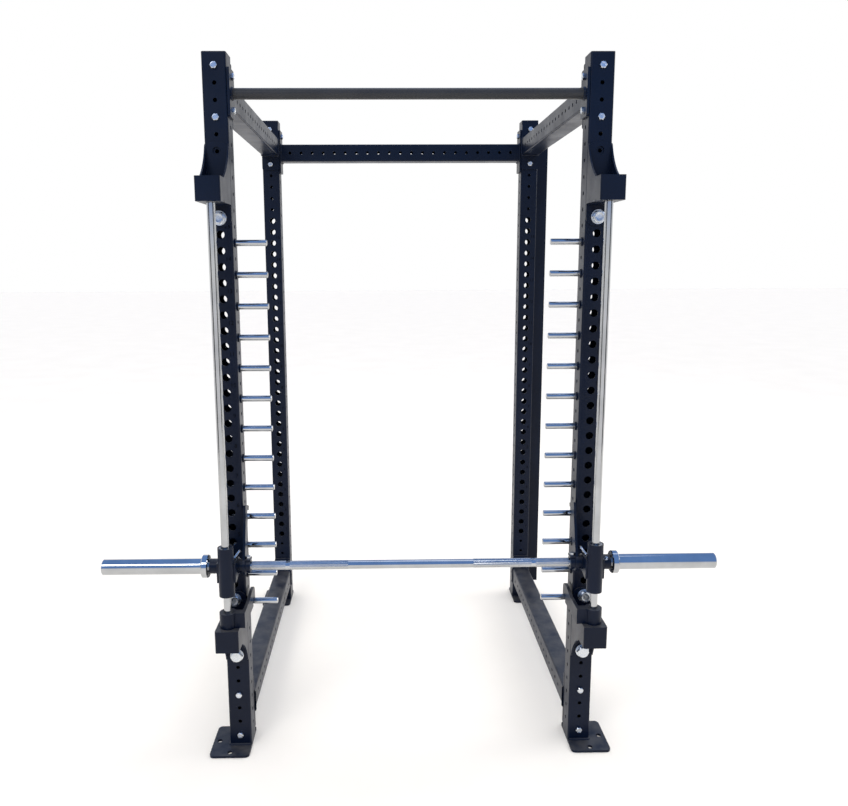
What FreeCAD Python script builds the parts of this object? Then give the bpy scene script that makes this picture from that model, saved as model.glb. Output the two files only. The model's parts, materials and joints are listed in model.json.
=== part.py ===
import FreeCAD, Part
import math
import os

# Power cage with a guided barbell on its front.
# X runs to the right, Y to the back and Z up. The origin is on the floor, in the middle
# of the cage's bounding box. Every length is in millimetres and every angle in degrees.
# Holes are counted in rows from the top: row 0 is the highest, and the rows of the side
# faces lie half a row between those of the front and back faces.

Vector = FreeCAD.Vector
X_AXIS = Vector(1, 0, 0)
Y_AXIS = Vector(0, 1, 0)
Z_AXIS = Vector(0, 0, 1)
LEFT = -1
RIGHT = 1
SIDE_NAMES = {LEFT: "left", RIGHT: "right"}

# Square tube and its hole pattern
TUBE = 75.0
TUBE_WALL = 3.0
TUBE_CORNER = 6.0
PITCH = 50.0
ROWS = 45
SMALL_HOLE = 6.5
LARGE_HOLE = 12.5
FIRST_LARGE_ROW = 8
LAST_LARGE_ROW = 38

# Cage
INNER_WIDTH = 1100.0
INNER_DEPTH = 1075.0
FLANGE = 8.0
BEAM_FLANGE_HEIGHT = 200.0
FLANGE_CORNER = 8.0
TOP_BEAM_ROW = 1.5
LOWER_BEAM_ROW = 42.5
BEAM_BOLT_ROWS = (0, 3, 41, 44)
SIDE_BEAM_HOLES = 19
CROSSMEMBER_ROW = 2.0
CROSSMEMBER_HOLES = 21
CROSSMEMBER_BOLT_ROW = 0.5
CROSSMEMBER_FLANGE_TOP = 100.0
CROSSMEMBER_FLANGE_BOTTOM = -87.0
PULL_UP_RADIUS = 17.0
PULL_UP_WALL = 3.0
PULL_UP_ROW = 1.5
PULL_UP_BOLT_ROWS = (0.5, 2.5)
PULL_UP_FLANGE_HEIGHT = 145.0
CAP_PLATE = 3.0
CAP_SKIRT = 20.0
CAP_CHAMFER = 1.2
TIGHT_CORNER = 1.0

# Welded foot plates: flush with the inside of the upright, wider outside and in front
FOOT_THICKNESS = 8.0
FOOT_WIDTH = 135.0
FOOT_LENGTH = 168.0
FOOT_FRONT = 62.0
FOOT_CORNER = 15.0
ANCHOR_HOLE = 9.0
ANCHOR_EDGE = 20.0

# Angle rail welded to the outside of the rear right upright
RAIL_OUT = 60.0
RAIL_LEG = 20.0
RAIL_THICKNESS = 5.0
RAIL_BOTTOM = 60.0
RAIL_TOP = 2230.0

# Catch pegs
PEG_ROWS = [10.5 + 2 * step for step in range(13)]
PEG_RADIUS = 10.0
PEG_LENGTH = 100.0
PEG_CHAMFER = 2.0
PEG_STUD_RADIUS = 6.0
PEG_STUD_RECESS = 1.0
PEG_SEAT_RADIUS = 14.0
PEG_SEAT = 4.0

# Guide rods and their brackets. The bracket is a closed box with two bolt holes: one
# on the short side, towards the travel, and one on the long side, beyond the cheeks.
ROD_RADIUS = 12.5
ROD_OFFSET = 118.0
BRACKET_REACH = 158.0
BRACKET_PLATE = 5.0
BRACKET_CORNER = 6.0
BRACKET_BOX = 72.0
BRACKET_SHORT = 76.0
BRACKET_LONG = 124.0
BRACKET_END = 27.0
CHEEK_START = 100.0
CHEEK_MIDDLE = (38.0, 84.0)
CHEEK_TIP = (6.0, 140.0)
TOP_BRACKET_SHORT_ROW = 9
BOTTOM_BRACKET_SHORT_ROW = 34
BOTTOM_BRACKET_LONG_ROW = 38
COLLAR_RADIUS = 20.0
COLLAR_HEIGHT = 15.0

# Carriage
CARRIAGE_RADIUS = 25.0
CARRIAGE_BORE = 20.0
CARRIAGE_HEIGHT = 160.0
CARRIAGE_RAISED = 1.5
BEARING_LENGTH = 59.0
BEARING_INSET = 7.0
WIPER = 4.0
WIPER_INSET = 2.0
BAR_BEHIND_ROD = 48.0
BAR_HEIGHT = 690.5
HOUSING_RADIUS = 24.0
HOUSING_BORE = 17.0
HOUSING_INNER = 554.0
HOUSING_OUTER = 648.0
BUSHING_LENGTH = 22.0
GUSSET = 5.0
GUSSET_ROUND = 28.0
GUSSET_DROP = 36.0
GUSSET_FRONT = 4.0
GUSSET_TOE = 10.0
HOUSING_SCREW_X = 632.0
HOUSING_SCREW_HEAD = 9.0
HOUSING_SCREW_HEIGHT = 10.0
HOUSING_SCREW_SHANK = 5.0
STOP_SCREW_RADIUS = 4.0
STOP_SCREW_FOOT_X = 573.0
STOP_SCREW_LENGTH = 38.0
STOP_SCREW_LEAN = 36.0
STOP_NUT_FLATS = 12.8
STOP_NUT = 6.0

# Barbell
BAR_RADIUS = 14.0
BAR_END = 980.0
SHOULDER_RADIUS = 19.0
SHOULDER = 3.0
SLEEVE_START = 652.0
SLEEVE_END = 990.0
SLEEVE_RADIUS = 25.0
SLEEVE_BORE = 20.0
SLEEVE_COLLAR_RADIUS = 37.0
SLEEVE_COLLAR_WIDTH = 21.0
SLEEVE_CHAMFER = 2.5
SLEEVE_BUSHING = 40.0
SLEEVE_BUSHING_INNER = 2.0
SLEEVE_BUSHING_OUTER = 4.0
SLEEVE_CAP = 3.0
SLEEVE_PLUG = 8.0

# Lock hooks. The slot is an arc about the bar, so a twist of the bar brings it round
# the peg. The hooks stand clear of the pegs until the bar is twisted by HOOK_CLEAR.
HOOK_PLATE = 8.0
HOOK_INNER = 534.0
HOOK_CLEAR = 16.0
HOOK_PEG_ROW = 28.5
HOOK_SLOT = 12.0
HOOK_LIP = 13.0
HOOK_TIP_ANGLE = 4.6
HOOK_BACK_ANGLE = 14.0
HOOK_JAW_ANGLE = 1.0
HOOK_NECK = 30.0
HOOK_ROOT_RADIUS = 27.0
HOOK_ROOT_HALF = 20.0
HOOK_ROOT_TURN = 7.0
HUB_RADIUS = 22.0
HUB_WIDTH = 16.0
HUB_EAR = (30.0, 5.0)
HUB_SCREW = 5.0
HUB_SCREW_HEAD = 8.0
HUB_SCREW_HEIGHT = 8.0

# Safety stops
SAFETY_RADIUS = 27.0
SAFETY_BORE = 17.0
SAFETY_HEIGHT = 50.0
SAFETY_INNER = 532.0
SAFETY_ARM = 10.0
SAFETY_BLOCK_DEPTH = 26.0
SAFETY_PEG_ROW = 34.5
SAFETY_SLOT = 11.5
SAFETY_REAR_LEG = 13.0
SAFETY_ARCH = 35.0
SAFETY_CORNER = 22.0

# Clearances
RUNNING_FIT = 0.05
BUTT_GAP = 0.3
LOOSE_FIT = 0.1

# Overlap that lets pieces of one solid join, and the slack that tells one edge from another
OVERLAP = 2.0
SLACK = 0.1

# Fasteners: shank radius, across flats, head, nut, washer radius, washer, thread left over
FRAME_BOLT = (6.0, 19.0, 7.5, 10.5, 12.0, 2.5, 4.0)
BRACKET_BOLT = (12.0, 36.0, 15.0, 21.0, 22.5, 4.0, 5.0)
CONE_SHARE = 0.47

# Places worked out from the dimensions above
HALF = TUBE / 2
UPRIGHT_X = (INNER_WIDTH + TUBE) / 2
INNER_X = INNER_WIDTH / 2
OUTER_X = INNER_X + TUBE
SPACING_Y = INNER_DEPTH + TUBE
FRONT_Y = -(SPACING_Y + FOOT_LENGTH - FOOT_FRONT - BRACKET_REACH) / 2
REAR_Y = FRONT_Y + SPACING_Y
FRONT_MID_Y = FRONT_Y + HALF
REAR_MID_Y = REAR_Y + HALF
UPRIGHT_LENGTH = (ROWS - 1) * PITCH + TUBE
ROD_Y = FRONT_Y - ROD_OFFSET
BAR_Y = ROD_Y + BAR_BEHIND_ROD


def row_z(row):
    """Height of a hole row, counted from the top."""
    return FOOT_THICKNESS + HALF + PITCH * (ROWS - 1 - row)


TOP_BOX_Z = row_z(TOP_BRACKET_SHORT_ROW) + BRACKET_SHORT
BOTTOM_BOX_Z = row_z(BOTTOM_BRACKET_SHORT_ROW) - BRACKET_SHORT
SAFETY_Z = BOTTOM_BOX_Z + BRACKET_BOX / 2 + BUTT_GAP
HOOK_RISE = row_z(HOOK_PEG_ROW) - BAR_HEIGHT
HOOK_BACK = FRONT_MID_Y - BAR_Y
HOOK_RADIUS = math.hypot(HOOK_BACK, HOOK_RISE)
HOOK_ANGLE = math.degrees(math.atan2(HOOK_BACK, HOOK_RISE)) - HOOK_CLEAR


# Basic shapes

def block(x_range, y_range, z_range):
    """Box between two limits along each axis, given in either order."""
    low = Vector(min(x_range), min(y_range), min(z_range))
    high = Vector(max(x_range), max(y_range), max(z_range))
    size = high - low
    return Part.makeBox(size.x, size.y, size.z, low)


def bar_between(radius, start, end):
    """Round bar from one point to another."""
    start = Vector(*start)
    way = Vector(*end) - start
    return Part.makeCylinder(radius, way.Length, start, way)


def ring_between(outer, inner, start, end):
    """Round tube from one point to another."""
    return bar_between(outer, start, end).cut(bar_between(inner, start, end))


def rounded_face(width, depth, radius):
    """Rectangle with round corners, centred in the XY plane."""
    half_x = width / 2 - radius
    half_y = depth / 2 - radius
    centres = [(half_x, half_y), (-half_x, half_y), (-half_x, -half_y), (half_x, -half_y)]
    arcs = []
    for quarter, centre in enumerate(centres):
        start = 90 * quarter
        arcs.append(Part.makeCircle(radius, Vector(*centre, 0), Z_AXIS, start, start + 90))
    edges = []
    for arc, following in zip(arcs, arcs[1:] + arcs[:1]):
        edges.append(arc)
        edges.append(Part.makeLine(arc.lastVertex().Point, following.firstVertex().Point))
    return Part.Face(Part.Wire(edges))


def rounded_prism(width, depth, radius, height):
    """Upright prism with round corners, standing on the XY plane."""
    return rounded_face(width, depth, radius).extrude(Vector(0, 0, height))


def hex_prism(across_flats, height):
    """Hexagonal prism standing on the XY plane."""
    corner = across_flats / math.sqrt(3)
    points = [Vector(corner * math.cos(math.radians(60 * turn)),
                     corner * math.sin(math.radians(60 * turn)), 0) for turn in range(7)]
    return Part.Face(Part.makePolygon(points)).extrude(Vector(0, 0, height))


def aim(shape, origin, direction):
    """Turn a shape made along Z to point another way, and move it to its origin."""
    placed = shape.copy()
    placed.Placement = FreeCAD.Placement(Vector(*origin), FreeCAD.Rotation(Z_AXIS, direction))
    return placed


def moved(shape, x, y, z):
    placed = shape.copy()
    placed.translate(Vector(x, y, z))
    return placed


def yz_plate(outline, x_start, thickness):
    """Plate across X from an outline of edges drawn in the YZ plane."""
    face = Part.Face(Part.Wire(outline))
    return moved(face.extrude(Vector(thickness, 0, 0)), x_start, 0, 0)


def line_yz(start, end):
    return Part.makeLine(Vector(0, *start), Vector(0, *end))


def arc_yz(start, middle, end):
    return Part.Arc(Vector(0, *start), Vector(0, *middle), Vector(0, *end)).toShape()


def mirrored_pair(right_hand):
    """The two hands of a piece that is made for the right side."""
    return {RIGHT: right_hand, LEFT: right_hand.mirror(Vector(0, 0, 0), X_AXIS)}


def save(name, solids):
    """Write one node from one solid or a list of solids."""
    if not isinstance(solids, list):
        solids = [solids]
    pieces = [piece for solid in solids for piece in solid.Solids]
    shape = pieces[0] if len(pieces) == 1 else Part.makeCompound(pieces)
    assert all(piece.isValid() and piece.Volume > 0 for piece in pieces), name
    shape.exportStep("parts/" + name + ".step")
    print(name, len(pieces), round(shape.Volume))


# Cage

def square_tube(length):
    outer = rounded_prism(TUBE, TUBE, TUBE_CORNER, length)
    inner = rounded_prism(TUBE - 2 * TUBE_WALL, TUBE - 2 * TUBE_WALL, TUBE_CORNER - TUBE_WALL, length)
    return outer.cut(inner)


def make_upright():
    """Upright standing on its foot plate, centred on the Z axis."""
    tube = moved(square_tube(UPRIGHT_LENGTH), 0, 0, FOOT_THICKNESS)
    drills = []
    for row in range(ROWS):
        large = FIRST_LARGE_ROW <= row <= LAST_LARGE_ROW
        radius = LARGE_HOLE if large else SMALL_HOLE
        drills.append(bar_between(radius, (0, -TUBE, row_z(row)), (0, TUBE, row_z(row))))
    for row in range(ROWS - 1):
        z = row_z(row + 0.5)
        drills.append(bar_between(SMALL_HOLE, (-TUBE, 0, z), (TUBE, 0, z)))
    return tube.cut(drills)


def save_uprights():
    upright = make_upright()
    for end, y in (("front", FRONT_MID_Y), ("rear", REAR_MID_Y)):
        for side in (LEFT, RIGHT):
            save("upright_%s_%s" % (end, SIDE_NAMES[side]), moved(upright, side * UPRIGHT_X, y, 0))


def save_feet_and_caps():
    centre_x = INNER_X + FOOT_WIDTH / 2
    plate = rounded_prism(FOOT_WIDTH, FOOT_LENGTH, FOOT_CORNER, FOOT_THICKNESS)
    front_hole = (0, ANCHOR_EDGE - FOOT_LENGTH / 2)
    outer_hole = (FOOT_WIDTH / 2 - ANCHOR_EDGE, 0)
    for x, y in (front_hole, outer_hole):
        plate = plate.cut(bar_between(ANCHOR_HOLE, (x, y, 0), (x, y, FOOT_THICKNESS)))
    skirt_size = TUBE - 2 * TUBE_WALL - 2 * LOOSE_FIT
    skirt = rounded_prism(skirt_size, skirt_size, TUBE_CORNER - TUBE_WALL, CAP_SKIRT)
    hollow = rounded_prism(skirt_size - 2 * TUBE_WALL, skirt_size - 2 * TUBE_WALL, TIGHT_CORNER, CAP_SKIRT)
    lid = moved(rounded_prism(TUBE, TUBE, TUBE_CORNER, CAP_PLATE), 0, 0, CAP_SKIRT)
    top_edges = [edge for edge in lid.Edges if edge.CenterOfMass.z > CAP_SKIRT + CAP_PLATE - SLACK]
    lid = lid.makeChamfer(CAP_CHAMFER, top_edges)
    cap = skirt.cut(hollow).fuse(lid)
    top = FOOT_THICKNESS + UPRIGHT_LENGTH
    plates = []
    caps = []
    for side, hand in mirrored_pair(moved(plate, centre_x, 0, 0)).items():
        for y in (FRONT_Y, REAR_Y):
            plates.append(moved(hand, 0, y - FOOT_FRONT + FOOT_LENGTH / 2, 0))
            caps.append(moved(cap, side * UPRIGHT_X, y + HALF, top - CAP_SKIRT))
    save("foot_plates", plates)
    save("upright_caps", caps)


def drilled_beam(length, holes):
    """Beam along Z, centred on the origin, with one row of holes along Y."""
    beam = moved(square_tube(length), 0, 0, -length / 2)
    first = -PITCH * (holes - 1) / 2
    drills = []
    for step in range(holes):
        z = first + PITCH * step
        drills.append(bar_between(SMALL_HOLE, (0, -TUBE, z), (0, TUBE, z)))
    return beam.cut(drills)


def flange_plate(bottom, top, holes):
    """Flange lying in the XY plane, long along Y, with bolt holes."""
    plate = moved(rounded_prism(TUBE, top - bottom, FLANGE_CORNER, FLANGE), 0, (top + bottom) / 2, 0)
    for y in holes:
        plate = plate.cut(bar_between(SMALL_HOLE, (0, y, 0), (0, y, FLANGE)))
    return plate


def save_side_beams():
    middle_y = (FRONT_Y + TUBE + REAR_Y) / 2
    beam = drilled_beam(INNER_DEPTH - 2 * FLANGE, SIDE_BEAM_HOLES)
    along_y = beam.rotate(Vector(), X_AXIS, 90).rotate(Vector(), Y_AXIS, 90)
    half = BEAM_FLANGE_HEIGHT / 2
    plate = flange_plate(-half, half, (-1.5 * PITCH, 1.5 * PITCH)).rotate(Vector(), X_AXIS, 90)
    flanges = []
    for level, row in (("top", TOP_BEAM_ROW), ("lower", LOWER_BEAM_ROW)):
        for side in (LEFT, RIGHT):
            x = side * UPRIGHT_X
            save("%s_beam_%s" % (level, SIDE_NAMES[side]), moved(along_y, x, middle_y, row_z(row)))
            flanges.append(moved(plate, x, FRONT_Y + TUBE + FLANGE, row_z(row)))
            flanges.append(moved(plate, x, REAR_Y, row_z(row)))
    save("beam_flanges", flanges)


def side_flanges(plate, y, row):
    """The pair of flanges on the inner faces of two uprights."""
    standing = plate.rotate(Vector(), X_AXIS, 90).rotate(Vector(), Z_AXIS, 90)
    right = moved(standing, INNER_X - FLANGE, y, row_z(row))
    return list(mirrored_pair(right).values())


def save_crossmember():
    beam = drilled_beam(INNER_WIDTH - 2 * FLANGE, CROSSMEMBER_HOLES)
    along_x = beam.rotate(Vector(), Y_AXIS, 90)
    save("rear_crossmember", moved(along_x, 0, REAR_MID_Y, row_z(CROSSMEMBER_ROW)))
    hole = PITCH * (CROSSMEMBER_ROW - CROSSMEMBER_BOLT_ROW)
    plate = flange_plate(CROSSMEMBER_FLANGE_BOTTOM, CROSSMEMBER_FLANGE_TOP, (hole,))
    save("crossmember_flanges", side_flanges(plate, REAR_MID_Y, CROSSMEMBER_ROW))


def save_pull_up_bar():
    z = row_z(PULL_UP_ROW)
    end_x = INNER_X - FLANGE
    bar = ring_between(PULL_UP_RADIUS, PULL_UP_RADIUS - PULL_UP_WALL,
                       (-end_x, FRONT_MID_Y, z), (end_x, FRONT_MID_Y, z))
    save("pull_up_bar", bar)
    half = PULL_UP_FLANGE_HEIGHT / 2
    plate = flange_plate(-half, half, (-PITCH, PITCH))
    save("pull_up_flanges", side_flanges(plate, FRONT_MID_Y, PULL_UP_ROW))


def save_rear_side_rail():
    standing = block((OUTER_X, OUTER_X + RAIL_OUT), (REAR_Y + TUBE - RAIL_THICKNESS, REAR_Y + TUBE),
                     (RAIL_BOTTOM, RAIL_TOP))
    welded = block((OUTER_X, OUTER_X + RAIL_THICKNESS), (REAR_Y + TUBE - RAIL_LEG, REAR_Y + TUBE),
                   (RAIL_BOTTOM, RAIL_TOP))
    save("rear_side_rail", standing.fuse(welded).removeSplitter())


# Fasteners

def bolt_set(kind, grip, washed_head):
    """Bolt, washers and nut around a clamped stack from z = 0 to grip, made along Z."""
    shank, flats, head, nut, washer_radius, washer, spare = kind
    under_head = -washer if washed_head else 0.0
    cone = flats * CONE_SHARE
    head_blank = moved(hex_prism(flats, head), 0, 0, under_head - head)
    bolt = head_blank.common(Part.makeCone(cone, cone + head, head, Vector(0, 0, under_head - head)))
    nut_z = grip + washer
    tip = nut_z + nut + spare
    bolt = bolt.fuse(Part.makeCylinder(shank, tip - under_head, Vector(0, 0, under_head)))
    washers = []
    for z in (-washer, grip) if washed_head else (grip,):
        disc = Part.makeCylinder(washer_radius, washer, Vector(0, 0, z))
        washers.append(disc.cut(Part.makeCylinder(shank + LOOSE_FIT, washer, Vector(0, 0, z))))
    nut_blank = moved(hex_prism(flats, nut), 0, 0, nut_z)
    nut_cone = Part.makeCone(cone + nut, cone, nut, Vector(0, 0, nut_z))
    nut_bore = Part.makeCylinder(shank + LOOSE_FIT, nut, Vector(0, 0, nut_z))
    return bolt, washers, nut_blank.common(nut_cone).cut(nut_bore)


def placed_sets(kind, grip, places, washed_head):
    """Bolts, washers and nuts at a list of (origin, direction) places."""
    bolt, washers, nut = bolt_set(kind, grip, washed_head)
    bolts = [aim(bolt, origin, direction) for origin, direction in places]
    nuts = [aim(nut, origin, direction) for origin, direction in places]
    discs = [aim(washer, origin, direction) for origin, direction in places for washer in washers]
    return bolts, discs, nuts


def save_frame_fasteners():
    """Beam bolts go through the uprights; side bolts end in nuts inside them."""
    beam_places = []
    side_places = []
    for side in (LEFT, RIGHT):
        for row in BEAM_BOLT_ROWS:
            for y in (FRONT_Y, REAR_Y - FLANGE):
                beam_places.append(((side * UPRIGHT_X, y, row_z(row)), Y_AXIS))
        for y, rows in ((REAR_MID_Y, (CROSSMEMBER_BOLT_ROW,)), (FRONT_MID_Y, PULL_UP_BOLT_ROWS)):
            for row in rows:
                side_places.append(((side * (INNER_X - FLANGE), y, row_z(row)), X_AXIS * side))
    beam_bolts, beam_washers, beam_nuts = placed_sets(FRAME_BOLT, TUBE + FLANGE, beam_places, False)
    side_bolts, side_washers, side_nuts = placed_sets(FRAME_BOLT, TUBE_WALL + FLANGE, side_places, False)
    save("beam_bolts", beam_bolts)
    save("side_bolts", side_bolts)
    save("frame_washers", beam_washers + side_washers)
    save("frame_nuts", beam_nuts + side_nuts)


def save_bracket_fasteners():
    rows = (TOP_BRACKET_SHORT_ROW, BOTTOM_BRACKET_SHORT_ROW, BOTTOM_BRACKET_LONG_ROW)
    places = [((side * UPRIGHT_X, FRONT_Y - BRACKET_PLATE, row_z(row)), Y_AXIS)
              for side in (LEFT, RIGHT) for row in rows]
    bolts, washers, nuts = placed_sets(BRACKET_BOLT, BRACKET_PLATE + TUBE, places, True)
    save("bracket_bolts", bolts)
    save("bracket_washers", washers)
    save("bracket_nuts", nuts)


# Catch pegs

def make_peg():
    """Peg along Z from the upright's inner face, its stud plugging the hole in the outer one."""
    stud_length = TUBE - PEG_STUD_RECESS
    pin = Part.makeCylinder(PEG_RADIUS, PEG_LENGTH)
    tip_edge = [edge for edge in pin.Edges if edge.CenterOfMass.z > PEG_LENGTH - SLACK]
    pin = pin.makeChamfer(PEG_CHAMFER, tip_edge)
    return pin.fuse(Part.makeCylinder(PEG_STUD_RADIUS, stud_length, Vector(0, 0, -stud_length)))


def save_pegs():
    peg = make_peg()
    seat_ring = ring_between(PEG_SEAT_RADIUS, PEG_RADIUS + RUNNING_FIT, (0, 0, 0), (0, 0, PEG_SEAT))
    seats = []
    for side in (LEFT, RIGHT):
        pegs = []
        for row in PEG_ROWS:
            root = (side * INNER_X, FRONT_MID_Y, row_z(row))
            pegs.append(aim(peg, root, X_AXIS * -side))
            seats.append(aim(seat_ring, root, X_AXIS * -side))
        save("catch_pegs_" + SIDE_NAMES[side], pegs)
    save("peg_seats", seats)


# Guide rods and brackets

def make_bracket():
    """Bottom bracket: box centre at the origin, upright's face at y = 0, long side down."""
    half_box = BRACKET_BOX / 2
    shell = rounded_prism(TUBE, 2 * BRACKET_REACH, BRACKET_CORNER, BRACKET_BOX)
    inside = rounded_prism(TUBE - 2 * BRACKET_PLATE, 2 * (BRACKET_REACH - BRACKET_PLATE), TIGHT_CORNER,
                           BRACKET_BOX - 2 * BRACKET_PLATE)
    shell = moved(shell, 0, 0, -half_box).cut(moved(inside, 0, 0, BRACKET_PLATE - half_box))
    shell = shell.cut(block((-TUBE, TUBE), (0, 2 * BRACKET_REACH), (-TUBE, TUBE)))

    length = BRACKET_SHORT + BRACKET_LONG + 2 * BRACKET_END
    back = rounded_prism(TUBE, length, BRACKET_END, BRACKET_PLATE).rotate(Vector(), X_AXIS, 90)
    back = moved(back, 0, 0, (BRACKET_SHORT - BRACKET_LONG) / 2)

    tip_y, tip_z = CHEEK_TIP
    middle_y, middle_z = CHEEK_MIDDLE
    start = (-CHEEK_START, -half_box)
    tip = (-tip_y, -tip_z)
    foot = (0, -tip_z - tip_y)
    root = (0, BRACKET_PLATE - half_box)
    shoulder = (-CHEEK_START, BRACKET_PLATE - half_box)
    outline = [line_yz(root, shoulder), line_yz(shoulder, start),
               arc_yz(start, (-middle_y, -middle_z), tip), line_yz(tip, foot), line_yz(foot, root)]
    cheeks = [yz_plate(outline, x, BRACKET_PLATE) for x in (-HALF, HALF - BRACKET_PLATE)]

    bracket = shell.fuse([back] + cheeks)
    for z in (BRACKET_SHORT, -BRACKET_LONG):
        bracket = bracket.cut(bar_between(LARGE_HOLE, (0, -BRACKET_PLATE, z), (0, 0, z)))
    rod_hole = bar_between(ROD_RADIUS + LOOSE_FIT, (0, -ROD_OFFSET, 0), (0, -ROD_OFFSET, TUBE))
    return bracket.cut(rod_hole).removeSplitter()


def save_brackets():
    bottom = make_bracket()
    top = bottom.mirror(Vector(), Z_AXIS)
    for level, bracket, z in (("top", top, TOP_BOX_Z), ("bottom", bottom, BOTTOM_BOX_Z)):
        for side in (LEFT, RIGHT):
            save("rod_bracket_%s_%s" % (level, SIDE_NAMES[side]),
                 moved(bracket, side * UPRIGHT_X, FRONT_Y, z))


def save_rods():
    inside = BRACKET_BOX / 2 - BRACKET_PLATE
    bottom = BOTTOM_BOX_Z - inside
    top = TOP_BOX_Z + inside
    collars = []
    for side in (LEFT, RIGHT):
        x = side * UPRIGHT_X
        save("guide_rod_" + SIDE_NAMES[side], bar_between(ROD_RADIUS, (x, ROD_Y, bottom), (x, ROD_Y, top)))
        for z in (BOTTOM_BOX_Z + inside - COLLAR_HEIGHT, TOP_BOX_Z - inside):
            collars.append(ring_between(COLLAR_RADIUS, ROD_RADIUS + LOOSE_FIT,
                                        (x, ROD_Y, z), (x, ROD_Y, z + COLLAR_HEIGHT)))
    save("rod_collars", collars)


# Carriage

def save_carriage_tubes():
    half = CARRIAGE_HEIGHT / 2
    middle = BAR_HEIGHT + CARRIAGE_RAISED
    bearings = []
    wipers = []
    for side in (LEFT, RIGHT):
        x = side * UPRIGHT_X
        tube = ring_between(CARRIAGE_RADIUS, CARRIAGE_BORE,
                            (x, ROD_Y, middle - half), (x, ROD_Y, middle + half))
        save("carriage_tube_" + SIDE_NAMES[side], tube)
        for end in (-1, 1):
            far = middle + end * (half - BEARING_INSET)
            bearings.append(ring_between(CARRIAGE_BORE - RUNNING_FIT, ROD_RADIUS + RUNNING_FIT,
                                         (x, ROD_Y, far), (x, ROD_Y, far - end * BEARING_LENGTH)))
            far = middle + end * (half - WIPER_INSET)
            wipers.append(ring_between(CARRIAGE_BORE - RUNNING_FIT, ROD_RADIUS + LOOSE_FIT,
                                       (x, ROD_Y, far), (x, ROD_Y, far - end * WIPER)))
    save("linear_bearings", bearings)
    save("rod_wipers", wipers)


def carriage_envelope():
    """The right-hand carriage tube as a plain bar, to notch what is welded to it."""
    return bar_between(CARRIAGE_RADIUS, (UPRIGHT_X, ROD_Y, 0), (UPRIGHT_X, ROD_Y, 2 * BAR_HEIGHT))


def housing_screw_line(start, end):
    """Points on the line of the housing's screw, at two distances from the bar's axis."""
    lean = math.sqrt(0.5)
    return [(HOUSING_SCREW_X, BAR_Y - reach * lean, BAR_HEIGHT + reach * lean) for reach in (start, end)]


def save_bar_housings():
    inner = (HOUSING_INNER, BAR_Y, BAR_HEIGHT)
    outer = (HOUSING_OUTER, BAR_Y, BAR_HEIGHT)
    right = ring_between(HOUSING_RADIUS, HOUSING_BORE, inner, outer).cut(carriage_envelope())
    hands = mirrored_pair(right)
    drill_line = housing_screw_line(HOUSING_BORE - OVERLAP, HOUSING_RADIUS + OVERLAP)
    shank = bar_between(HOUSING_SCREW_SHANK + LOOSE_FIT, *drill_line)
    save("bar_housing_left", hands[LEFT])
    save("bar_housing_right", hands[RIGHT].cut(shank))
    bushings = []
    for start in (HOUSING_INNER + 1, HOUSING_OUTER - BUSHING_LENGTH - 1):
        bush = ring_between(HOUSING_BORE - RUNNING_FIT, BAR_RADIUS + RUNNING_FIT,
                            (start, BAR_Y, BAR_HEIGHT), (start + BUSHING_LENGTH, BAR_Y, BAR_HEIGHT))
        bushings.extend(mirrored_pair(bush).values())
    save("bar_bushings", bushings)
    head_line = housing_screw_line(HOUSING_RADIUS, HOUSING_RADIUS + HOUSING_SCREW_HEIGHT)
    head = bar_between(HOUSING_SCREW_HEAD, *head_line)
    notch = bar_between(HOUSING_RADIUS, inner, outer)
    shank_line = housing_screw_line(HOUSING_BORE + 1, HOUSING_RADIUS + OVERLAP)
    screw = bar_between(HOUSING_SCREW_SHANK, *shank_line)
    save("housing_screw", screw.fuse(head.cut(notch)))


def gusset_outline():
    """Edges of the gusset in the YZ plane, around the housing and down to the tube."""
    lean = GUSSET_ROUND * math.sqrt(0.5)
    front = ROD_Y - GUSSET_FRONT
    top_front = (front, BAR_HEIGHT + GUSSET_ROUND)
    top = (BAR_Y, BAR_HEIGHT + GUSSET_ROUND)
    back = (BAR_Y + GUSSET_ROUND, BAR_HEIGHT)
    below = (BAR_Y + lean, BAR_HEIGHT - lean)
    toe = (ROD_Y + GUSSET_TOE, BAR_HEIGHT - GUSSET_DROP)
    toe_front = (front, BAR_HEIGHT - GUSSET_DROP)
    return [line_yz(top_front, top), arc_yz(top, back, below), line_yz(below, toe),
            line_yz(toe, toe_front), line_yz(toe_front, top_front)]


def save_gussets():
    bore = bar_between(HOUSING_RADIUS + RUNNING_FIT, (0, BAR_Y, BAR_HEIGHT), (BAR_END, BAR_Y, BAR_HEIGHT))
    gussets = []
    for x in (UPRIGHT_X - CARRIAGE_RADIUS - GUSSET, UPRIGHT_X + CARRIAGE_RADIUS):
        plate = yz_plate(gusset_outline(), x, GUSSET).cut(bore)
        gussets.extend(mirrored_pair(plate).values())
    save("carriage_gussets", gussets)


def save_stop_screws():
    """Screws that lean inwards from the top of each housing and limit the twist."""
    lean = math.radians(STOP_SCREW_LEAN)
    foot_z = BAR_HEIGHT + HOUSING_RADIUS - OVERLAP
    foot = (STOP_SCREW_FOOT_X, BAR_Y, foot_z)
    tip = (STOP_SCREW_FOOT_X - STOP_SCREW_LENGTH * math.sin(lean), BAR_Y,
           foot_z + STOP_SCREW_LENGTH * math.cos(lean))
    way = Vector(*tip) - Vector(*foot)
    nut = aim(hex_prism(STOP_NUT_FLATS, STOP_NUT), foot, way)
    screw = bar_between(STOP_SCREW_RADIUS, foot, tip).fuse(nut)
    housing = bar_between(HOUSING_RADIUS, (0, BAR_Y, BAR_HEIGHT), (BAR_END, BAR_Y, BAR_HEIGHT))
    screw = screw.cut([housing, carriage_envelope()])
    save("twist_stop_screws", list(mirrored_pair(screw).values()))


# Barbell

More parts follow.
